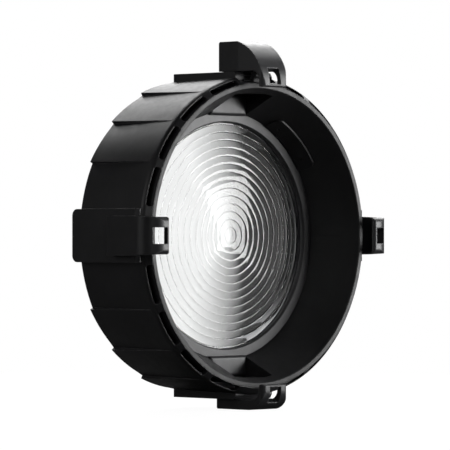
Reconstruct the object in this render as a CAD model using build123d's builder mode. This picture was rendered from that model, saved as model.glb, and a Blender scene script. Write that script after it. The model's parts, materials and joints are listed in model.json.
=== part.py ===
from build123d import *
import os
from math import cos, radians, sin

# Fresnel spotlight front: a moulded drum that carries a stepped glass lens behind a conical
# hood, with four accessory hooks round its rim. The upper hook is a sprung latch.
# The optical axis is Y and light leaves towards -Y. The origin is the centre of the rear
# shoulder, where the drum meets the lamp head. "Depth" is the distance behind the front rim.

# ---------------------------------------------------------------- driving dimensions (mm)
body_depth = 64.0            # front rim to rear shoulder
skin_front_r = 106.3         # outer skin just behind the rim
skin_rear_r = 105.0          # outer skin at the rear edge
skin_wall = 1.9
skin_start = 7.0             # depth where the rim's slope has become the skin

rim_inner_r = 98.0           # mouth of the hood
lip_outer_r = 101.3          # flat front lip of the hood
lip_thickness = 2.0
slope_end_r, slope_end = 104.9, 3.5         # where the sloped front face turns into the skin
ledge_inner_r = 99.9         # ledge of the shell that the lip sits on
ledge_back = 4.6
ledge_outer_r = 103.1        # where the ledge's back meets the skin
slot_inner_r, slot_outer_r = 101.6, 105.0
slot_arc = 12.9              # degrees between the centres of a slot's round ends
slot_spacing = 18.0

step_angles = (27.0, 45.0, 63.0, 80.6)   # edges of the overlapping skin panels, from horizontal
step_front, step_rear = 0.15, 2.3        # how far each panel's edge stands proud
panel_start = 7.8                        # depth where the panels begin to rise
panel_sink, panel_root, panel_gap = 0.3, 1.2, 0.6   # end depth, root depth, gap in degrees

pad_half = 17.5              # half width of the raised pads
pad_front, pad_back = 6.0, 67.0
pad_h = 109.0                # pad height above the axis
pad_foot_h = 106.2
recess_top = 106.7           # roof of the recess in front of the upper pad
pad_corner = 4.5

hook_half = 13.0             # half width of hooks and latch at their rear
tip_half = 12.0
hook_rear = 28.0
hook_top = 115.8
hook_under = pad_h
hook_screw_seat = 104.8      # under the heads, inside the skin
hook_corner_r = 13.0
hook_front = -14.0
tip_inner_face = -10.5
tip_h = 98.6
window_half = 5.3
window_low, window_high = 100.6, 110.6

hood_wall = 2.2
hood_depth = 31.6            # depth of the lens ring's face
hood_rear_r = 83.4
channel_half = 18.0          # outward channels in the hood, above and below
channel_h = 95.3
flange_back = 34.6
hood_flange_r = 92.0
hood_screw_at = 89.2
hood_screw_angles = [22.5 + 45 * k for k in range(8)]
cover_width, cover_thickness, cover_gap = 46.0, 1.2, 0.06
cover_front, cover_back = 19.6, 30.6

lens_r = 75.0                # clear radius of the glass
lens_flange_r = 78.7
lens_flange_front, lens_back = 34.7, 38.8
lens_crown = 5.0             # how far the middle stands in front of the edge
lens_edge_front = 32.2
lens_rings = 14

ring_face_r = 77.0
ring_bore_r = 76.0
ring_screw_at = 81.2
ring_screw_angles = [60 * k for k in range(6)]
tab_half, tab_low, tab_h, tab_front = 17.3, 80.8, 94.9, 29.2

carrier_front, carrier_flange_back, carrier_back = 34.65, 38.7, 42.0
carrier_lip_r, carrier_bore_r, carrier_hub_r, carrier_r = 74.6, 79.0, 86.5, 93.0
lip_front = 39.9
ear_r, ear_at = 4.5, 95.0                # ears and posts for the carrier's screws
carrier_screw_angles = (45.0, 135.0, 225.0, 315.0)
carrier_post_back, rear_post_front = 48.0, 47.0
post_root_r = 104.6                      # posts reach into the skin up to here

baffle_r = 85.0
rear_plate_front = 59.0
rear_plate_r = 102.6
rear_opening_r = 80.0
spigot_r, spigot_length = 86.0, 12.0
seal_inner_r, seal_outer_r = 87.0, 91.4  # groove for the light seal in the shoulder
seal_thickness, seal_inset = 1.6, 0.1
rear_screw_at = 96.0
rear_screw_angles = [60 * k for k in range(6)]
rear_head_seat = 61.0

pivot_depth, pivot_h = 13.0, 106.6       # latch hinge axis
pin_r = 1.5
pin_half = 13.1
pocket_half = 13.6
pocket_front, pocket_back = 9.5, 29.9
seat_h = 103.4                           # flat inside the shell where the bracket sits
latch_top, latch_rear = 129.5, 26.0
latch_under = 109.6
latch_round_r = 31.7
latch_round_at = (17.7, 99.0)            # centre of the quarter round, depth and height
latch_wall = 2.5
lug_inner, lug_outer = 6.8, 9.2
ear_inner, ear_outer = 9.6, 11.8
bracket_front, bracket_back, bracket_low = 8.6, 38.0, 101.6
bracket_width = 35.2
lug_r, bracket_ear_r = 2.9, 2.6
ring_at = 12.4                           # middle of each retaining ring along the pin
ring_r, groove_r = 2.65, 1.2             # retaining ring's outside and the pin's groove
stop_h, stop_r = 107.0, 2.3              # round head of the tongue that stops the latch
spring_pitch, spring_turns, spring_coil_r, wire_r, spring_leg = 1.4, 6.5, 2.2, 0.4, 7.0

hook_screw_places = [(17.0 - body_depth, 7.5), (17.0 - body_depth, -7.5)]
bracket_screw_places = [(34.0 - body_depth, 11.0), (34.0 - body_depth, -11.0)]

os.makedirs("parts", exist_ok=True)


# ---------------------------------------------------------------- shared helpers
def y_at(depth):
    """Y coordinate of a depth behind the front rim."""
    return depth - body_depth


def across(depth):
    """Plane across the axis at a depth. Its normal points to the front."""
    return Plane.XZ.offset(-y_at(depth))


def along(angle):
    """Plane that holds the axis and the radial direction at an angle: x is Y, y is height."""
    return Plane(origin=(0, 0, 0), x_dir=(0, 1, 0), z_dir=(sin(radians(angle)), 0, -cos(radians(angle))))


def above(angle, height):
    """Plane square to the radial direction: x is Y, y is the tangential direction."""
    out = (cos(radians(angle)), 0, sin(radians(angle)))
    return Plane(origin=[height * c for c in out], x_dir=(0, 1, 0), z_dir=out)


def polar(radius, angle):
    return (radius * cos(radians(angle)), radius * sin(radians(angle)))


def skin_r(depth):
    """Outer radius of the plain skin at a depth."""
    share = (depth - skin_start) / (body_depth - skin_start)
    return skin_front_r + (skin_rear_r - skin_front_r) * share


def cone_r(depth):
    """Inner radius of the hood at a depth."""
    return rim_inner_r + (hood_rear_r - rim_inner_r) * depth / hood_depth


def turned(points):
    """Solid of revolution about the axis from (radius, depth) points."""
    with BuildPart() as solid:
        with BuildSketch(Plane.XY):
            with BuildLine():
                Polyline(*[(r, y_at(d)) for r, d in points], close=True)
            make_face()
        revolve(axis=Axis.Y)
    return solid.part


def screw(plane, places, head_r, head_h, shank_r, length):
    """Cap screws with their heads' undersides on the plane and shanks along its normal."""
    with BuildPart() as screws:
        with BuildSketch(plane):
            with Locations(*places):
                Circle(head_r)
        extrude(amount=-head_h)
        with BuildSketch(plane):
            with Locations(*places):
                Circle(shank_r)
        extrude(amount=length)
        with BuildSketch(plane.offset(-head_h)):
            with Locations(*places):
                RegularPolygon(head_r * 0.55, 6)
        extrude(amount=head_h * 0.55, mode=Mode.SUBTRACT)
    return screws.part


def finish(part, name):
    part.label = name
    export_step(part, f"parts/{name}.step")


# ---------------------------------------------------------------- outer shell
def panel_section(depth, proud, start, end):
    """Thin crescent of one overlapping panel: proud at its start edge, sunk in the skin at its end."""
    radius = skin_r(depth)
    outer_start, outer_end, inner = radius + proud, radius - panel_sink, radius - panel_root
    middle = (start + end) / 2
    with BuildSketch(across(depth)) as section:
        with BuildLine():
            ThreePointArc(polar(outer_start, start), polar((outer_start + outer_end) / 2, middle),
                          polar(outer_end, end))
            Line(polar(outer_end, end), polar(inner, end))
            ThreePointArc(polar(inner, end), polar(inner, middle), polar(inner, start))
            Line(polar(inner, start), polar(outer_start, start))
        make_face()
    return section.sketch


def pad_block(angle):
    """Raised pad with a sloped front end and two round rear corners."""
    with BuildPart() as pad:
        with BuildSketch(along(angle)):
            Polygon((y_at(pad_front), 100), (y_at(pad_front), pad_foot_h), (y_at(pad_front + 1.6), pad_h),
                    (y_at(pad_back), pad_h), (y_at(pad_back), 100), align=None)
        extrude(amount=pad_half, both=True)
        corners = pad.faces().sort_by(Axis.Y)[-1].edges().filter_by(lambda e: e.length < 12)
        fillet(corners, pad_corner)
    return pad.part


with BuildPart() as outer_shell:
    # Skin, sloped front face and the ledge for the hood's lip
    with BuildSketch(Plane.XY):
        with BuildLine():
            slope = Line((lip_outer_r + 0.1, y_at(0)), (slope_end_r, y_at(slope_end)))
            TangentArc(slope @ 1, (skin_front_r, y_at(skin_start)), tangent=slope % 1)
            Polyline(
                (skin_front_r, y_at(skin_start)),
                (skin_rear_r, y_at(body_depth)),
                (skin_rear_r - skin_wall, y_at(body_depth)),
                (skin_front_r - skin_wall, y_at(skin_start + 1)),
                (ledge_outer_r, y_at(ledge_back + 1)),
                (slot_inner_r, y_at(ledge_back)),
                (ledge_inner_r, y_at(ledge_back)),
                (ledge_inner_r, y_at(lip_thickness + 0.1)),
                (lip_outer_r + 0.1, y_at(lip_thickness + 0.1)),
                slope @ 0,
            )
        make_face()
    revolve(axis=Axis.Y)
    # Overlapping panels, the same in each quarter
    for start, end in zip(step_angles, step_angles[1:]):
        for quarter in (lambda a: a, lambda a: 180 - a, lambda a: 180 + a, lambda a: -a):
            sections = [
                panel_section(panel_start, step_front, quarter(start), quarter(end - panel_gap)),
                panel_section(body_depth, step_rear, quarter(start), quarter(end - panel_gap)),
            ]
            loft(sections, ruled=True)
    # Raised pads under the hooks and the latch
    for angle in (0, 90, 180, 270):
        add(pad_block(angle))
    # Clear the inside of the pads and open the drum
    add(
        turned([(0, ledge_back), (slot_inner_r, ledge_back), (ledge_outer_r, ledge_back + 1),
                (skin_front_r - skin_wall, skin_start + 1), (skin_rear_r - skin_wall, body_depth),
                (skin_rear_r - skin_wall, pad_back + 1), (0, pad_back + 1)]),
        mode=Mode.SUBTRACT,
    )
    # Vent slots through the sloped face
    with BuildSketch(across(-1)):
        for index in range(20):
            if index % 5:
                start = index * slot_spacing - slot_arc / 2
                arc = CenterArc((0, 0), (slot_inner_r + slot_outer_r) / 2, start, slot_arc)
                SlotArc(arc, slot_outer_r - slot_inner_r)
    extrude(amount=-9, mode=Mode.SUBTRACT)
    # Posts inside the skin for the lens carrier and for the rear plate
    for angles, radius, front, back, hole_r in (
        (carrier_screw_angles, ear_at, carrier_flange_back, carrier_post_back, 2.2),
        (rear_screw_angles, rear_screw_at, rear_post_front, rear_plate_front, 1.95),
    ):
        for angle in angles:
            with BuildSketch(across(front)):
                with Locations(polar(radius, angle)):
                    Circle(ear_r)
                with Locations(Location((*polar((radius + post_root_r) / 2, angle), 0), (0, 0, angle))):
                    Rectangle(post_root_r - radius, 2 * ear_r)
                with Locations(polar(radius, angle)):
                    Circle(hole_r, mode=Mode.SUBTRACT)
            extrude(amount=front - back)
    # Pocket in the upper pad for the latch, the recess in front of it and the bracket's flat seat
    for half, low, high, front, back in (
        (pocket_half, 101.0, 112.0, pocket_front, pocket_back),
        (pad_half - 0.5, 102.0, recess_top, -1.0, pad_front + 1.5),
        (18.2, 98.0, seat_h, skin_start + 1, 38.4),
    ):
        with BuildSketch(above(90, low)):
            with Locations((y_at((front + back) / 2), 0)):
                Rectangle(back - front, 2 * half)
        extrude(amount=high - low, mode=Mode.SUBTRACT)
    # Screw holes: two up into the bracket's seat, two through each fixed hook's pad
    with BuildSketch(above(90, seat_h - 1)):
        with Locations(*bracket_screw_places):
            Circle(1.5)
    extrude(amount=5.2, mode=Mode.SUBTRACT)
    for angle in (0, 180, 270):
        with BuildSketch(above(angle, 98)):
            with Locations(*hook_screw_places):
                Circle(2.2)
        extrude(amount=14, mode=Mode.SUBTRACT)
        with BuildSketch(above(angle, 98)):
            with Locations(*hook_screw_places):
                Circle(3.8)
        extrude(amount=hook_screw_seat - 98, mode=Mode.SUBTRACT)
finish(outer_shell.part, "outer_shell")

# ---------------------------------------------------------------- hood
with BuildPart() as inner_hood:
    hood_back = hood_depth + 1.0
    with BuildSketch(Plane.XY):
        with BuildLine():
            Polyline(*[(r, y_at(d)) for r, d in (
                (rim_inner_r, 0.6), (rim_inner_r + 0.6, 0), (lip_outer_r, 0), (lip_outer_r, lip_thickness),
                (cone_r(lip_thickness) + hood_wall, lip_thickness),
                (hood_rear_r + hood_wall, hood_back), (hood_flange_r, hood_back),
                (hood_flange_r, flange_back), (hood_rear_r, flange_back), (hood_rear_r, hood_depth),
            )], close=True)
        make_face()
    revolve(axis=Axis.Y)
    # Channels above and below, with their own walls, cut through the cone and the flange
    for angle in (90, 270):
        with BuildSketch(along(angle)):
            Polygon((y_at(5.2), 90), (y_at(3.4), channel_h + hood_wall),
                    (y_at(flange_back), channel_h + hood_wall), (y_at(flange_back), 78), align=None)
        extrude(amount=channel_half + hood_wall, both=True)
    add(turned([(0, -1), (rim_inner_r + 0.4, -1), (rim_inner_r, 0.6), (hood_rear_r, hood_depth),
                (hood_rear_r, flange_back + 1), (0, flange_back + 1)]), mode=Mode.SUBTRACT)
    for angle in (90, 270):
        with BuildSketch(along(angle)):
            Polygon((y_at(6.2), 80), (y_at(6.2), channel_h), (y_at(flange_back + 1), channel_h),
                    (y_at(flange_back + 1), 80), align=None)
        extrude(amount=channel_half, both=True, mode=Mode.SUBTRACT)
    with BuildSketch(across(hood_back - 1)):
        with Locations(*[polar(hood_screw_at, a) for a in hood_screw_angles]):
            Circle(1.45)
    extrude(amount=-4, mode=Mode.SUBTRACT)
finish(inner_hood.part, "inner_hood")

# Cover plates that follow the cone, one each side of the upper channel
for side, middle in (("right", 48.0), ("left", 132.0)):
    with BuildPart() as cover:
        with BuildSketch(above(middle, 70)):
            with Locations((y_at((cover_front + cover_back) / 2), 0)):
                RectangleRounded(cover_back - cover_front, cover_width, 3)
            with Locations(*[(y_at(cover_back - 5), u) for u in (8 - cover_width / 2, cover_width / 2 - 8)]):
                Circle(0.9, mode=Mode.SUBTRACT)
        extrude(amount=40)
        band = [(cone_r(depth) - gap, depth) for depth, gap in (
            (0, cover_gap + cover_thickness), (0, cover_gap),
            (hood_depth, cover_gap), (hood_depth, cover_gap + cover_thickness))]
        add(turned(band), mode=Mode.INTERSECT)
    finish(cover.part, f"hood_cover_{side}")

# ---------------------------------------------------------------- lens and its ring
with BuildPart() as fresnel_lens:
    pitch = lens_r / lens_rings
    profile = [(0, y_at(lens_back)), (lens_flange_r, y_at(lens_back)),
               (lens_flange_r, y_at(lens_flange_front)), (lens_r, y_at(lens_flange_front))]
    for ring in reversed(range(lens_rings)):
        outer, inner = (ring + 1) * pitch, ring * pitch
        crest = lens_edge_front - lens_crown * (1 - (inner / lens_r) ** 2)
        tooth = 0.5 + 1.6 * (ring + 0.5) / lens_rings
        profile += [(outer, y_at(crest + tooth)), (inner, y_at(crest))]
    with BuildSketch(Plane.XY):
        with BuildLine():
            Polyline(*profile, close=True)
        make_face()
    revolve(axis=Axis.Y)
finish(fresnel_lens.part, "fresnel_lens")

gasket = [(75.4, lens_back), (78.6, lens_back), (78.6, lip_front), (75.4, lip_front)]
finish(turned(gasket), "lens_gasket")

with BuildPart() as lens_retaining_ring:
    add(turned([(ring_face_r, hood_depth), (hood_rear_r - 0.2, hood_depth), (hood_rear_r - 0.2, flange_back),
                (ring_bore_r, flange_back), (ring_bore_r, hood_depth + 1.4)]))
    for angle in (90, 270):
        with BuildPart(mode=Mode.PRIVATE) as tab:
            with BuildSketch(above(angle, tab_low)):
                with Locations((y_at((tab_front + flange_back) / 2), 0)):
                    Rectangle(flange_back - tab_front, 2 * tab_half)
            extrude(amount=tab_h - tab_low)
            fillet(tab.faces().sort_by(Axis.Y)[0].edges(), 2.2)
        add(tab.part)
    with BuildSketch(across(flange_back + 0.1)):
        with Locations(*[polar(ring_screw_at, a) for a in ring_screw_angles]):
            Circle(1.25)
    extrude(amount=2.1, mode=Mode.SUBTRACT)
finish(lens_retaining_ring.part, "lens_retaining_ring")

with BuildPart() as lens_carrier:
    add(turned([(carrier_bore_r, carrier_front), (carrier_r, carrier_front),
                (carrier_r, carrier_flange_back), (carrier_hub_r, carrier_flange_back),
                (carrier_hub_r, carrier_back), (carrier_lip_r, carrier_back),
                (carrier_lip_r, lip_front), (carrier_bore_r, lip_front)]))
    for angle in carrier_screw_angles:
        with BuildSketch(across(carrier_front)):
            with Locations(polar(ear_at, angle)):
                Circle(ear_r)
        extrude(amount=carrier_front - carrier_flange_back)
    for radius, angles, hole_r in (
        (ear_at, carrier_screw_angles, 1.95),
        (hood_screw_at, hood_screw_angles, 1.6),
        (ring_screw_at, ring_screw_angles, 1.4),
    ):
        with BuildSketch(across(carrier_front - 1)):
            with Locations(*[polar(radius, a) for a in angles]):
                Circle(hole_r)
        extrude(amount=-10, mode=Mode.SUBTRACT)
finish(lens_carrier.part, "lens_carrier")

# Screws whose heads face the rear and whose shanks run forward
for name, radius, angles, seat, head_r, head_h, shank_r, length in (
    ("lens_ring_screws", ring_screw_at, ring_screw_angles, carrier_back, 2.2, 1.8, 1.2, 9.2),
    ("hood_screws", hood_screw_at, hood_screw_angles, carrier_flange_back, 2.4, 2.2, 1.4, 5.8),
    ("carrier_screws", ear_at, carrier_screw_angles, carrier_post_back, 3.5, 3.0, 1.9, 13.0),
    ("rear_ring_screws", rear_screw_at, rear_screw_angles, rear_head_seat, 3.5, 3.0, 1.9, 14.0),
):
    places = [polar(radius, a) for a in angles]
    finish(screw(across(seat), places, head_r, head_h, shank_r, length), name)

# ---------------------------------------------------------------- rear plate and baffle
finish(turned([(baffle_r, carrier_back), (baffle_r + 1, carrier_back), (baffle_r + 1, rear_plate_front),
               (baffle_r, rear_plate_front)]), "light_baffle")

with BuildPart() as rear_ring:
    spigot_end = body_depth + spigot_length
    groove_floor = body_depth - seal_inset - seal_thickness
    add(turned([(rear_opening_r, rear_plate_front), (rear_plate_r, rear_plate_front),
                (rear_plate_r, body_depth), (seal_outer_r, body_depth), (seal_outer_r, groove_floor),
                (seal_inner_r, groove_floor), (seal_inner_r, body_depth), (spigot_r, body_depth),
                (spigot_r, spigot_end - 0.8), (spigot_r - 0.8, spigot_end),
                (rear_opening_r + 0.8, spigot_end), (rear_opening_r, spigot_end - 0.8)]))
    places = [polar(rear_screw_at, a) for a in rear_screw_angles]
    for front, hole_r in ((rear_plate_front - 1, 2.2), (rear_head_seat, 3.8)):
        with BuildSketch(across(front)):
            with Locations(*places):
                Circle(hole_r)
        extrude(amount=front - body_depth - 1, mode=Mode.SUBTRACT)
finish(rear_ring.part, "rear_ring")

# Light seal, let into the groove in the rear plate
seal_low, seal_high = groove_floor, body_depth - seal_inset
finish(turned([(seal_inner_r + 0.05, seal_low), (seal_outer_r - 0.05, seal_low),
               (seal_outer_r - 0.05, seal_high), (seal_inner_r + 0.05, seal_high)]), "rear_seal")


# ---------------------------------------------------------------- hooks and latch
def hook_inside(front, under):
    """Lower edges shared by hooks and latch, from the front's foot: tip, inner face, inner corner."""
    face = y_at(tip_inner_face)
    Polyline(front, (front[0] + 1, tip_h), (face - 0.6, tip_h), (face, tip_h + 0.6), (face, under - 6.5))
    RadiusArc((face, under - 6.5), (face + 6.5, under), 6.5)


def hook_plan(angle, rear_depth):
    """Plan view of a hook: full width at the rear, a little narrower with round corners at the tip."""
    front, rear = y_at(hook_front), y_at(rear_depth)
    with BuildSketch(above(angle, 90)) as plan:
        Polygon((rear, -hook_half), (y_at(8), -hook_half), (front, -tip_half), (front, tip_half),
                (y_at(8), hook_half), (rear, hook_half), align=None)
        tip_corners = [v for v in plan.vertices() if v.X < front + 0.1]
        fillet(tip_corners, 3.4)
    return plan.sketch


def window_tool(angle):
    """Tool for the see-through window in a hook's front, its upper edge bevelled."""
    with BuildPart() as tool:
        with BuildSketch(along(angle)):
            Polygon((y_at(-20), window_low), (y_at(-4), window_low), (y_at(-4), window_high - 2.5),
                    (y_at(tip_inner_face), window_high), (y_at(-20), window_high + 6), align=None)
        extrude(amount=window_half, both=True)
    return tool.part


for side, angle in (("left", 180), ("right", 0), ("bottom", 270)):
    with BuildPart() as clip:
        with BuildSketch(along(angle)):
            with BuildLine():
                hook_inside((y_at(hook_front), tip_h + 1), hook_under)
                Polyline((y_at(tip_inner_face + 6.5), hook_under), (y_at(hook_rear), hook_under),
                         (y_at(hook_rear), hook_top - 0.8), (y_at(hook_rear) - 0.8, hook_top),
                         (y_at(hook_front + hook_corner_r), hook_top))
                RadiusArc((y_at(hook_front + hook_corner_r), hook_top),
                          (y_at(hook_front), hook_top - hook_corner_r), -hook_corner_r)
                Line((y_at(hook_front), hook_top - hook_corner_r), (y_at(hook_front), tip_h + 1))
            make_face()
        extrude(amount=hook_half + 1, both=True)
        extrude(hook_plan(angle, hook_rear), amount=45, mode=Mode.INTERSECT)
        add(window_tool(angle), mode=Mode.SUBTRACT)
        with BuildSketch(above(angle, hook_under)):
            with Locations(*hook_screw_places):
                Circle(1.95)
        extrude(amount=4.4, mode=Mode.SUBTRACT)
    finish(clip.part, f"clip_{side}")
    finish(screw(above(angle, hook_screw_seat), hook_screw_places, 3.4, 2.6, 1.9, 8.2), f"clip_screws_{side}")


def round_point(radius, height):
    """Point of the latch's quarter round, at a radius from its centre and a height."""
    depth, middle = latch_round_at
    return (y_at(depth - (radius ** 2 - (height - middle) ** 2) ** 0.5), height)


def round_middle(radius, low, high):
    """Point of the quarter round half way between two heights."""
    return round_point(radius, (low + high) / 2)


with BuildPart() as top_latch:
    # Quarter round with a hook at its front end
    with BuildSketch(along(90)):
        with BuildLine():
            hook_inside(round_point(latch_round_r, tip_h + 1), latch_under)
            Polyline((y_at(tip_inner_face + 6.5), latch_under), (y_at(latch_rear), latch_under),
                     (y_at(latch_rear), latch_top - 1), (y_at(latch_rear) - 1, latch_top),
                     round_point(latch_round_r, latch_top))
            ThreePointArc(round_point(latch_round_r, latch_top),
                          round_middle(latch_round_r, tip_h + 1, latch_top),
                          round_point(latch_round_r, tip_h + 1))
        make_face()
    extrude(amount=hook_half + 1, both=True)
    extrude(hook_plan(90, latch_rear), amount=45, mode=Mode.INTERSECT)
    # Hollow, open to the pocket behind the cross web
    inner_r, floor, roof = latch_round_r - latch_wall - 0.3, latch_under + 2.4, latch_top - latch_wall
    with BuildSketch(along(90)):
        with BuildLine():
            ThreePointArc(round_point(inner_r, floor), round_middle(inner_r, floor, roof),
                          round_point(inner_r, roof))
            Polyline(round_point(inner_r, roof), (y_at(latch_rear - latch_wall), roof),
                     (y_at(latch_rear - latch_wall), latch_under - 1), (y_at(pivot_depth + 5), latch_under - 1),
                     (y_at(pivot_depth + 5), floor), round_point(inner_r, floor))
        make_face()
    extrude(amount=hook_half - latch_wall, both=True, mode=Mode.SUBTRACT)
    add(window_tool(90), mode=Mode.SUBTRACT)
    # Two lugs on the hinge pin
    for middle in (-(lug_inner + lug_outer) / 2, (lug_inner + lug_outer) / 2):
        with BuildSketch(along(90).offset(middle)):
            with Locations((y_at(pivot_depth), pivot_h)):
                Circle(lug_r)
            with Locations((y_at(pivot_depth), (pivot_h + floor) / 2)):
                Rectangle(2 * lug_r, floor - pivot_h)
            with Locations((y_at(pivot_depth), pivot_h)):
                Circle(pin_r + 0.06, mode=Mode.SUBTRACT)
        extrude(amount=(lug_outer - lug_inner) / 2, both=True)
finish(top_latch.part, "top_latch")

with BuildPart() as latch_bracket:
    with BuildSketch(above(90, bracket_low)):
        with Locations((y_at((bracket_front + bracket_back) / 2), 0)):
            Rectangle(bracket_back - bracket_front, bracket_width)
        with Locations(*bracket_screw_places):
            Circle(1.6, mode=Mode.SUBTRACT)
    extrude(amount=seat_h - bracket_low)
    for middle in (-(ear_inner + ear_outer) / 2, (ear_inner + ear_outer) / 2):
        with BuildSketch(along(90).offset(middle)):
            with Locations((y_at(pivot_depth), pivot_h)):
                Circle(bracket_ear_r)
            with Locations((y_at(pivot_depth), (pivot_h + bracket_low) / 2)):
                Rectangle(2 * bracket_ear_r, pivot_h - bracket_low)
            with Locations((y_at(pivot_depth), pivot_h)):
                Circle(pin_r + 0.02, mode=Mode.SUBTRACT)
        extrude(amount=(ear_outer - ear_inner) / 2, both=True)
    # Tongue that reaches forward under the pad's end and stops the latch from below
    with BuildSketch(along(90)):
        Polygon((y_at(9.4), seat_h - 1.1), (y_at(9.4), seat_h - 0.1), (y_at(5.2), seat_h - 0.1),
                (y_at(4.2), stop_h), (y_at(1.2), stop_h), (y_at(2.6), seat_h - 1.1), align=None)
        with Locations((y_at(2.4), stop_h)):
            Circle(stop_r)
    extrude(amount=4, both=True)
finish(latch_bracket.part, "latch_bracket")
finish(screw(above(90, bracket_low), bracket_screw_places, 2.8, 2.2, 1.45, 5.6), "latch_bracket_screws")

with BuildPart() as latch_pin:
    with BuildSketch(along(90)):
        with Locations((y_at(pivot_depth), pivot_h)):
            Circle(pin_r)
    extrude(amount=pin_half, both=True)
    for side in (-1, 1):
        with BuildSketch(along(90).offset(side * ring_at)):
            with Locations((y_at(pivot_depth), pivot_h)):
                Circle(pin_r + 1)
                Circle(groove_r, mode=Mode.SUBTRACT)
        extrude(amount=0.35, both=True, mode=Mode.SUBTRACT)
finish(latch_pin.part, "latch_pin")

with BuildPart() as latch_pin_rings:
    for side in (-1, 1):
        with BuildSketch(along(90).offset(side * ring_at)):
            with Locations((y_at(pivot_depth), pivot_h)):
                Circle(ring_r)
                Circle(groove_r + 0.02, mode=Mode.SUBTRACT)
            with Locations((y_at(pivot_depth), pivot_h - 2)):
                Rectangle(1.8, 4, mode=Mode.SUBTRACT)
        extrude(amount=0.3, both=True)
finish(latch_pin_rings.part, "latch_pin_rings")

with BuildPart() as latch_spring:
    with BuildLine() as wire:
        length = spring_pitch * spring_turns
        coil = Helix(spring_pitch, length, spring_coil_r, center=(-length / 2, y_at(pivot_depth), pivot_h),
                     direction=(1, 0, 0))
        leg_end = coil @ 0 - spring_leg * (coil % 0)
        Line(coil @ 0, leg_end)
        Line(coil @ 1, coil @ 1 + spring_leg * (coil % 1))
    with BuildSketch(Plane(origin=leg_end, z_dir=coil % 0)):
        Circle(wire_r)
    sweep(path=wire.wires()[0])
finish(latch_spring.part, "latch_spring")
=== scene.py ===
import json
from math import cos, pi, radians, sin

import bmesh
import bpy
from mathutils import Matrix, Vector


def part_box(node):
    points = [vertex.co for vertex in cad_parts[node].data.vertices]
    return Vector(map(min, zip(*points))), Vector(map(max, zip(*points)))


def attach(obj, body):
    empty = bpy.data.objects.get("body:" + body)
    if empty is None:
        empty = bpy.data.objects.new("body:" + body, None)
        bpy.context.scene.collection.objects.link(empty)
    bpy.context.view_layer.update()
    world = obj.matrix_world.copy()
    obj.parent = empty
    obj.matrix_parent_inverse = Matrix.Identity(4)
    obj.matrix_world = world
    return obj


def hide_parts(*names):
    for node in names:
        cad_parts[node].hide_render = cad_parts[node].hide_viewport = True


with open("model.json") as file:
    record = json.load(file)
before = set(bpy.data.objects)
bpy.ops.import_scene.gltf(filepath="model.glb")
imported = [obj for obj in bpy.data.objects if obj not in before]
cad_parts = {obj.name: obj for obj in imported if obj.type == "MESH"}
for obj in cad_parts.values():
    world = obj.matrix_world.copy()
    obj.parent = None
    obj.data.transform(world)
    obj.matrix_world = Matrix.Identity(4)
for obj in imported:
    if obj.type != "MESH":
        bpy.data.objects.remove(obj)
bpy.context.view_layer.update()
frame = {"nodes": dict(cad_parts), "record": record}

MM = 0.001
RIM_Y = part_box("inner_hood")[0].y            # plane of the front rim
FLOOR_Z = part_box("clip_bottom")[0].z - 0.2 * MM


# ---------------------------------------------------------------- shader helpers
def new_material(name):
    """Material with an empty node tree. Returns the material, its tree and its node maker."""
    mat = bpy.data.materials.new(name)
    mat.use_nodes = True
    tree = mat.node_tree
    tree.nodes.clear()
    return mat, tree, tree.nodes.new


def noise(tree, coords, scale, detail, roughness=0.5):
    """Noise value from 0 to 1 at the given coordinates."""
    node = tree.nodes.new("ShaderNodeTexNoise")
    node.inputs["Scale"].default_value = scale
    node.inputs["Detail"].default_value = detail
    node.inputs["Roughness"].default_value = roughness
    tree.links.new(coords, node.inputs["Vector"])
    return node.outputs["Fac"]


def ranged(tree, value, from_low, from_high, low, high):
    """Value mapped from one range to another, clamped."""
    node = tree.nodes.new("ShaderNodeMapRange")
    tree.links.new(value, node.inputs["Value"])
    sockets = ("From Min", "From Max", "To Min", "To Max")
    for socket, number in zip(sockets, (from_low, from_high, low, high)):
        node.inputs[socket].default_value = number
    return node.outputs["Result"]


def combined(tree, operation, first, second):
    """Result of a math operation on two sockets."""
    node = tree.nodes.new("ShaderNodeMath")
    node.operation = operation
    tree.links.new(first, node.inputs[0])
    tree.links.new(second, node.inputs[1])
    return node.outputs[0]


def mixed(tree, factor, first, second):
    """Colour mix of two colours, each a tuple or a socket."""
    node = tree.nodes.new("ShaderNodeMix")
    node.data_type = "RGBA"
    tree.links.new(factor, node.inputs["Factor"])
    for socket, colour in ((node.inputs[6], first), (node.inputs[7], second)):
        if isinstance(colour, tuple):
            socket.default_value = (*colour, 1.0)
        else:
            tree.links.new(colour, socket)
    return node.outputs[2]


def edge_mask(tree, radius):
    """Rounded normal, and how strongly it leaves the true normal, which marks edges."""
    bevel = tree.nodes.new("ShaderNodeBevel")
    bevel.samples = 4
    bevel.inputs["Radius"].default_value = radius
    geometry = tree.nodes.new("ShaderNodeNewGeometry")
    dot = tree.nodes.new("ShaderNodeVectorMath")
    dot.operation = "DOT_PRODUCT"
    tree.links.new(bevel.outputs["Normal"], dot.inputs[0])
    tree.links.new(geometry.outputs["Normal"], dot.inputs[1])
    return bevel.outputs["Normal"], ranged(tree, dot.outputs["Value"], 0.995, 0.8, 0.0, 1.0)


def bumped(tree, height, strength, distance, normal=None):
    """Normal disturbed by a height, on top of another normal if one is given."""
    node = tree.nodes.new("ShaderNodeBump")
    node.inputs["Strength"].default_value = strength
    node.inputs["Distance"].default_value = distance
    tree.links.new(height, node.inputs["Height"])
    if normal:
        tree.links.new(normal, node.inputs["Normal"])
    return node.outputs["Normal"]


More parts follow.
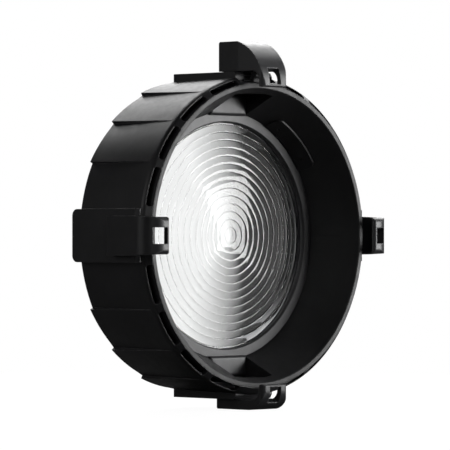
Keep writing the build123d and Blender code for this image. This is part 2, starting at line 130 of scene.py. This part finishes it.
def moulded(name, base, edge_wear_and_highlight, roughness, grain_mm, grain_depth, edge_mm, metallic):
    """Moulded or coated surface: fine grain, cloudy sheen, faint dust, and lighter edges that are partly
    rubbed wear and partly a painted highlight.
    """
    mat, tree, make = new_material(name)
    coords = make("ShaderNodeTexCoord").outputs["Object"]
    shader, output = make("ShaderNodeBsdfPrincipled"), make("ShaderNodeOutputMaterial")
    normal, edges = edge_mask(tree, edge_mm * MM)
    clouds = noise(tree, coords, 38.0, 4.0)
    dust = noise(tree, coords, 210.0, 6.0, 0.7)
    grain = noise(tree, coords, 1.0 / (grain_mm * MM), 3.0, 0.6)
    # Edges lightened along the edge mask, broken up by dust: partly rubbed wear, partly a painted highlight
    # along the edges
    rub_and_edge_highlight = combined(tree, "MULTIPLY", edges, ranged(tree, dust, 0.35, 0.65, 0.15, 0.8))
    lighter = tuple(c * 1.35 + 0.002 for c in base)
    plain = mixed(tree, ranged(tree, clouds, 0.35, 0.7, 0.0, 1.0), base, lighter)
    grey = tuple(c + 0.03 for c in base)
    dusty = mixed(tree, ranged(tree, dust, 0.62, 0.8, 0.0, 0.35), plain, grey)
    tree.links.new(mixed(tree, rub_and_edge_highlight, dusty, edge_wear_and_highlight), shader.inputs["Base Color"])
    sheen = ranged(tree, dust, 0.3, 0.75, roughness - 0.05, roughness + 0.08)
    tree.links.new(sheen, shader.inputs["Roughness"])
    shader.inputs["Metallic"].default_value = metallic
    tree.links.new(bumped(tree, grain, 0.35, grain_depth * MM, normal), shader.inputs["Normal"])
    tree.links.new(shader.outputs[0], output.inputs["Surface"])
    return mat


def turned_metal(name, base, roughness, groove_mm):
    """Metal with fine concentric tool marks about the optical axis and light handling marks."""
    mat, tree, make = new_material(name)
    coords = make("ShaderNodeTexCoord").outputs["Object"]
    shader, output = make("ShaderNodeBsdfPrincipled"), make("ShaderNodeOutputMaterial")
    normal, edges = edge_mask(tree, 0.35 * MM)
    rings = make("ShaderNodeTexWave")
    rings.wave_type, rings.rings_direction = "RINGS", "Y"
    rings.inputs["Scale"].default_value = 0.3 / (groove_mm * MM)
    rings.inputs["Distortion"].default_value = 0.6
    rings.inputs["Detail"].default_value = 2.0
    tree.links.new(coords, rings.inputs["Vector"])
    marks = noise(tree, coords, 160.0, 6.0, 0.65)
    bright = tuple(min(1.0, c * 1.5 + 0.03) for c in base)
    handled = mixed(tree, ranged(tree, marks, 0.4, 0.7, 0.0, 0.6), base, bright)
    rubbed = mixed(tree, edges, handled, tuple(min(1.0, c + 0.22) for c in base))
    tree.links.new(rubbed, shader.inputs["Base Color"])
    sheen = ranged(tree, marks, 0.3, 0.7, roughness - 0.06, roughness + 0.1)
    tree.links.new(sheen, shader.inputs["Roughness"])
    shader.inputs["Metallic"].default_value = 1.0
    tree.links.new(bumped(tree, rings.outputs["Fac"], 0.12, 0.02 * MM, normal), shader.inputs["Normal"])
    tree.links.new(shader.outputs[0], output.inputs["Surface"])
    return mat


def felt_material(name, base):
    """Pressed fibres: tangled noise in colour and relief, with a soft sheen."""
    mat, tree, make = new_material(name)
    coords = make("ShaderNodeTexCoord").outputs["Object"]
    shader, output = make("ShaderNodeBsdfPrincipled"), make("ShaderNodeOutputMaterial")
    fibres = make("ShaderNodeTexWave")
    fibres.wave_type = "BANDS"
    fibres.inputs["Scale"].default_value = 260.0
    fibres.inputs["Distortion"].default_value = 26.0
    fibres.inputs["Detail"].default_value = 5.0
    tree.links.new(coords, fibres.inputs["Vector"])
    lumps = noise(tree, coords, 420.0, 5.0, 0.7)
    lighter = tuple(c * 2.6 + 0.01 for c in base)
    tree.links.new(mixed(tree, fibres.outputs["Fac"], base, lighter), shader.inputs["Base Color"])
    tree.links.new(ranged(tree, lumps, 0.3, 0.7, 0.82, 1.0), shader.inputs["Roughness"])
    shader.inputs["Sheen Weight"].default_value = 0.35
    tree.links.new(bumped(tree, lumps, 0.7, 0.25 * MM), shader.inputs["Normal"])
    tree.links.new(shader.outputs[0], output.inputs["Surface"])
    return mat


def glass_material(name):
    """Pressed glass: polished, faintly green in depth, slightly wavy, with a little haze and dust."""
    mat, tree, make = new_material(name)
    coords = make("ShaderNodeTexCoord").outputs["Object"]
    shader, output = make("ShaderNodeBsdfPrincipled"), make("ShaderNodeOutputMaterial")
    waves = noise(tree, coords, 45.0, 3.0)
    specks = noise(tree, coords, 900.0, 4.0, 0.7)
    tint = mixed(tree, waves, (0.965, 0.985, 0.98), (1.0, 1.0, 1.0))
    tree.links.new(tint, shader.inputs["Base Color"])
    tree.links.new(ranged(tree, specks, 0.4, 0.8, 0.02, 0.16), shader.inputs["Roughness"])
    shader.inputs["IOR"].default_value = 1.5
    shader.inputs["Transmission Weight"].default_value = 1.0
    tree.links.new(bumped(tree, waves, 0.25, 0.3 * MM), shader.inputs["Normal"])
    tree.links.new(shader.outputs[0], output.inputs["Surface"])
    return mat


# ---------------------------------------------------------------- materials, one for each finish
black = (0.017, 0.017, 0.0185)
moulded_kinds = {
    # base colour, edge colour (rubbed wear and painted edge highlight), roughness, grain size, grain depth,
    # edge radius, metallic
    "shell_plastic": (black, (0.20, 0.20, 0.205), 0.40, 0.5, 0.02, 0.8, 0.0),
    "hood_plastic": ((0.013, 0.013, 0.014), (0.07, 0.07, 0.072), 0.52, 0.35, 0.03, 0.5, 0.0),
    "cover_plastic": ((0.012, 0.012, 0.013), (0.12, 0.12, 0.125), 0.38, 0.6, 0.015, 0.35, 0.0),
    "ring_plastic": ((0.022, 0.022, 0.024), (0.14, 0.14, 0.145), 0.42, 0.45, 0.02, 0.6, 0.0),
    "hook_plastic": (black, (0.22, 0.22, 0.225), 0.36, 0.55, 0.015, 1.1, 0.0),
    "latch_plastic": ((0.019, 0.019, 0.0205), (0.22, 0.22, 0.225), 0.37, 0.55, 0.015, 1.1, 0.0),
    "bracket_plastic": ((0.02, 0.02, 0.021), (0.09, 0.09, 0.092), 0.45, 0.5, 0.02, 0.4, 0.0),
    "silicone": ((0.03, 0.03, 0.031), (0.06, 0.06, 0.06), 0.62, 0.8, 0.03, 0.3, 0.0),
    "black_steel": ((0.035, 0.035, 0.037), (0.25, 0.24, 0.23), 0.36, 0.25, 0.01, 0.25, 0.9),
}
metal_kinds = {
    # base colour, roughness, width of the tool marks
    "carrier_alloy": ((0.045, 0.045, 0.05), 0.42, 0.35),
    "baffle_alloy": ((0.035, 0.035, 0.037), 0.6, 0.35),
    "rear_alloy": ((0.055, 0.055, 0.06), 0.38, 0.35),
    "pin_steel": ((0.56, 0.55, 0.54), 0.28, 0.1),
    "spring_steel": ((0.38, 0.38, 0.39), 0.34, 0.08),
}
finishes = {name: moulded(name, *kind) for name, kind in moulded_kinds.items()}
finishes |= {name: turned_metal(name, *kind) for name, kind in metal_kinds.items()}
finishes["felt"] = felt_material("felt", (0.016, 0.016, 0.017))
finishes["lens_glass"] = glass_material("lens_glass")

for entry in frame["record"]["subparts"]:
    node = frame["nodes"][entry["node"]]
    node.data.materials.clear()
    node.data.materials.append(finishes[entry["material_slot"]])

# Moulded parts with simple outlines also get real round edges
edge_rounding = {"clip_left": 0.8, "clip_right": 0.8, "clip_bottom": 0.8, "top_latch": 0.6,
                 "hood_cover_left": 0.25, "hood_cover_right": 0.25}
for name, width in edge_rounding.items():
    rounding = frame["nodes"][name].modifiers.new("rounding", "BEVEL")
    rounding.width = width * MM
    rounding.segments = 3
    rounding.limit_method = "ANGLE"
    rounding.angle_limit = radians(35)
    rounding.use_clamp_overlap = True


# ---------------------------------------------------------------- pieces turned about the axis
def placed(name, mesh, material):
    """Object made of a bmesh, which is freed, with one material."""
    data = bpy.data.meshes.new(name)
    mesh.to_mesh(data)
    mesh.free()
    data.materials.append(material)
    piece = bpy.data.objects.new(name, data)
    bpy.context.scene.collection.objects.link(piece)
    return piece


def lathe(name, profile, finish, node, segments, sharp):
    """Turned piece that replaces a CAD node, from (radius, y) points in metres.

    A profile that starts on the axis also ends there, in a pole. Any other profile is closed.
    """
    mesh = bmesh.new()
    angles = [2 * pi * k / segments for k in range(segments)]
    rings = []
    for radius, y in profile:
        if radius == 0:
            rings.append([mesh.verts.new((0, y, 0))])
        else:
            rings.append([mesh.verts.new((radius * cos(a), y, radius * sin(a))) for a in angles])
    pairs = list(zip(rings, rings[1:]))
    if profile[0][0] > 0:
        pairs.append((rings[-1], rings[0]))
    for first, second in pairs:
        for k in range(segments):
            corners = []
            for corner in (first[k % len(first)], first[(k + 1) % len(first)],
                           second[(k + 1) % len(second)], second[k % len(second)]):
                if corner not in corners:
                    corners.append(corner)
            mesh.faces.new(corners)
    bmesh.ops.recalc_face_normals(mesh, faces=mesh.faces)
    piece = placed(name, mesh, finishes[finish])
    piece.data.shade_smooth()
    piece.data.set_sharp_from_angle(angle=radians(sharp))
    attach(piece, "housing")
    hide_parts(node)
    return piece


def bore_radius(node):
    """Smallest distance of a CAD node's vertices from the optical axis."""
    return min((v.co.x ** 2 + v.co.z ** 2) ** 0.5 for v in frame["nodes"][node].data.vertices)


def rounded_ring(node, corner):
    """Profile of a ring with the node's box and bore, its corners rounded."""
    low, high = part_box(node)
    outer, inner = high.x - corner, bore_radius(node) + corner
    back, front = high.y - corner, low.y + corner
    points = []
    for radius, y, start in ((outer, back, 0), (inner, back, 90), (inner, front, 180), (outer, front, 270)):
        for step in range(5):
            angle = radians(start + step * 22.5)
            points.append((radius + corner * cos(angle), y + corner * sin(angle)))
    return points


# Lens: pressed glass with fourteen convex steps and small round crests
lens_low, lens_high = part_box("fresnel_lens")
lens_clear_r, lens_crown, lens_rings = 75.0 * MM, 5.0 * MM, 14
flange_r, flange_thickness, flange_chamfer = lens_high.x, 4.1 * MM, 0.3 * MM
tooth_least, tooth_growth = 0.5 * MM, 1.6 * MM   # height of the steps: at the axis, and added at the edge
crest_drop, crest_round = 0.02 * MM, 0.10 * MM   # glass lies this far behind the CAD's sharp crests
crest_share = 0.1                                # part of each step that its rounded crest takes
flange_front = lens_high.y - flange_thickness
edge_y = lens_low.y + lens_crown
pitch = lens_clear_r / lens_rings


def crest_y(radius):
    """Y of the step crests at a radius, on the lens's crowned front."""
    return edge_y - lens_crown * (1 - (radius / lens_clear_r) ** 2)


profile = [(0.0, crest_y(0.0) + crest_drop)]
for ring in range(lens_rings):
    inner, outer = ring * pitch, (ring + 1) * pitch
    tooth = tooth_least + tooth_growth * (ring + 0.5) / lens_rings
    for share in (0.02, 0.05, 0.1, 0.3, 0.5, 0.7, 0.9, 0.97):
        sag = tooth * share ** 1.25
        rounding = crest_round * max(0.0, 1 - share / crest_share) ** 2
        profile.append((inner + share * pitch, crest_y(inner) + sag + rounding + crest_drop))
    profile.append((outer - 0.02 * pitch, crest_y(inner) + tooth))
profile += [
    (lens_clear_r, flange_front),
    (flange_r - flange_chamfer, flange_front),
    (flange_r, flange_front + flange_chamfer),
    (flange_r, lens_high.y - flange_chamfer),
    (flange_r - flange_chamfer, lens_high.y),
    (0.0, lens_high.y),
]
lathe("lens_glass_body", profile, "lens_glass", "fresnel_lens", segments=256, sharp=28.0)

# Felt light seal and silicone gasket with soft round edges
seal_profile = rounded_ring("rear_seal", 0.5 * MM)
seal = lathe("rear_felt_seal", seal_profile, "felt", "rear_seal", segments=360, sharp=80.0)
fuzz = seal.modifiers.new("fuzz", "DISPLACE")
fuzz.texture = bpy.data.textures.new("felt_lumps", "CLOUDS")
fuzz.texture.noise_scale = 2 * MM
fuzz.strength = 0.12 * MM
fuzz.mid_level = 1.0                             # lumps only go inwards
gasket_profile = rounded_ring("lens_gasket", 0.35 * MM)
lathe("lens_silicone_gasket", gasket_profile, "silicone", "lens_gasket", segments=256, sharp=80.0)


# ---------------------------------------------------------------- room, lights and camera
def floor_paper():
    """White paper that shows a faint shadow and sends little light back up."""
    mat, tree, make = new_material("floor_paper")
    paper, glow = make("ShaderNodeBsdfDiffuse"), make("ShaderNodeEmission")
    both, output = make("ShaderNodeMixShader"), make("ShaderNodeOutputMaterial")
    fibre = noise(tree, make("ShaderNodeTexCoord").outputs["Object"], 300.0, 4.0)
    tree.links.new(mixed(tree, fibre, (0.80, 0.80, 0.80), (0.86, 0.86, 0.86)), paper.inputs["Color"])
    seen = make("ShaderNodeLightPath").outputs["Is Camera Ray"]
    tree.links.new(ranged(tree, seen, 0.0, 1.0, 0.0, 1.1), glow.inputs["Strength"])
    both.inputs["Fac"].default_value = 0.88
    tree.links.new(paper.outputs[0], both.inputs[1])
    tree.links.new(glow.outputs[0], both.inputs[2])
    tree.links.new(both.outputs[0], output.inputs["Surface"])
    return mat


def studio_world():
    """White room behind the object, dim in reflections. Through glass it is brighter on one side."""
    world = bpy.data.worlds.new("studio")
    world.use_nodes = True
    tree = world.node_tree
    tree.nodes.clear()
    make = tree.nodes.new
    path, direction = make("ShaderNodeLightPath"), make("ShaderNodeSeparateXYZ")
    background, output = make("ShaderNodeBackground"), make("ShaderNodeOutputWorld")
    tree.links.new(make("ShaderNodeTexCoord").outputs["Generated"], direction.inputs[0])
    bright_side = ranged(tree, direction.outputs["X"], 0.66, 0.82, 0.03, 1.0)
    far_side = ranged(tree, direction.outputs["X"], 0.2, 0.5, 0.6, 0.0)
    room = combined(tree, "MAXIMUM", bright_side, far_side)
    through = combined(tree, "MULTIPLY", path.outputs["Is Transmission Ray"], room)
    seen = combined(tree, "MAXIMUM", path.outputs["Is Camera Ray"], through)
    background.inputs["Color"].default_value = (1.0, 1.0, 1.0, 1.0)
    tree.links.new(ranged(tree, seen, 0.0, 1.0, 0.02, 1.0), background.inputs["Strength"])
    tree.links.new(background.outputs[0], output.inputs["Surface"])
    return world


def softbox(name, place, size, power):
    """Rectangular light aimed at the origin, seen only by the surfaces that it lights."""
    data = bpy.data.lights.new(name, "AREA")
    data.shape = "RECTANGLE"
    data.size, data.size_y = size
    data.energy = power
    light = bpy.data.objects.new(name, data)
    light.location = place
    light.rotation_euler = (-Vector(place)).to_track_quat("-Z", "Y").to_euler()
    light.visible_camera = False
    light.visible_transmission = False
    bpy.context.scene.collection.objects.link(light)


def photo_camera():
    """Long lens at the height of the axis, to the left of the front."""
    turn, distance, offset = radians(45.6), 2.450, 0.02357
    forward = Vector((sin(turn), cos(turn), 0.0))
    side = Vector((cos(turn), -sin(turn), 0.0))
    data = bpy.data.cameras.new("photo_camera")
    data.lens, data.sensor_width = 294.0, 36.0
    data.shift_y = 0.0236
    data.clip_start, data.clip_end = 0.05, 50.0
    camera = bpy.data.objects.new("photo_camera", data)
    camera.location = Vector((0.0, RIM_Y, 0.0)) - offset * side - distance * forward
    camera.rotation_euler = forward.to_track_quat("-Z", "Y").to_euler()
    bpy.context.scene.collection.objects.link(camera)
    return camera


floor_mesh = bmesh.new()
bmesh.ops.create_circle(floor_mesh, cap_ends=True, segments=96, radius=0.6)
floor = placed("studio_floor", floor_mesh, floor_paper())
floor.location = (0.0, 0.0, FLOOR_Z)

# Place, width and height in metres, power in watts
softbox("rear_top_box", (0.75, 1.25, 1.0), (1.6, 1.3), 22.0)
softbox("right_top_box", (1.35, 0.45, 1.05), (1.1, 1.0), 12.0)
softbox("right_front_box", (1.5, -1.45, 0.15), (1.3, 1.3), 48.0)
softbox("left_fill_box", (-1.6, 0.5, 0.5), (1.0, 1.0), 3.0)
softbox("camera_side_box", (-1.5, -1.9, 0.9), (0.8, 0.8), 6.0)

scene = bpy.context.scene
scene.world = studio_world()
scene.camera = photo_camera()
scene.view_settings.view_transform = "Standard"
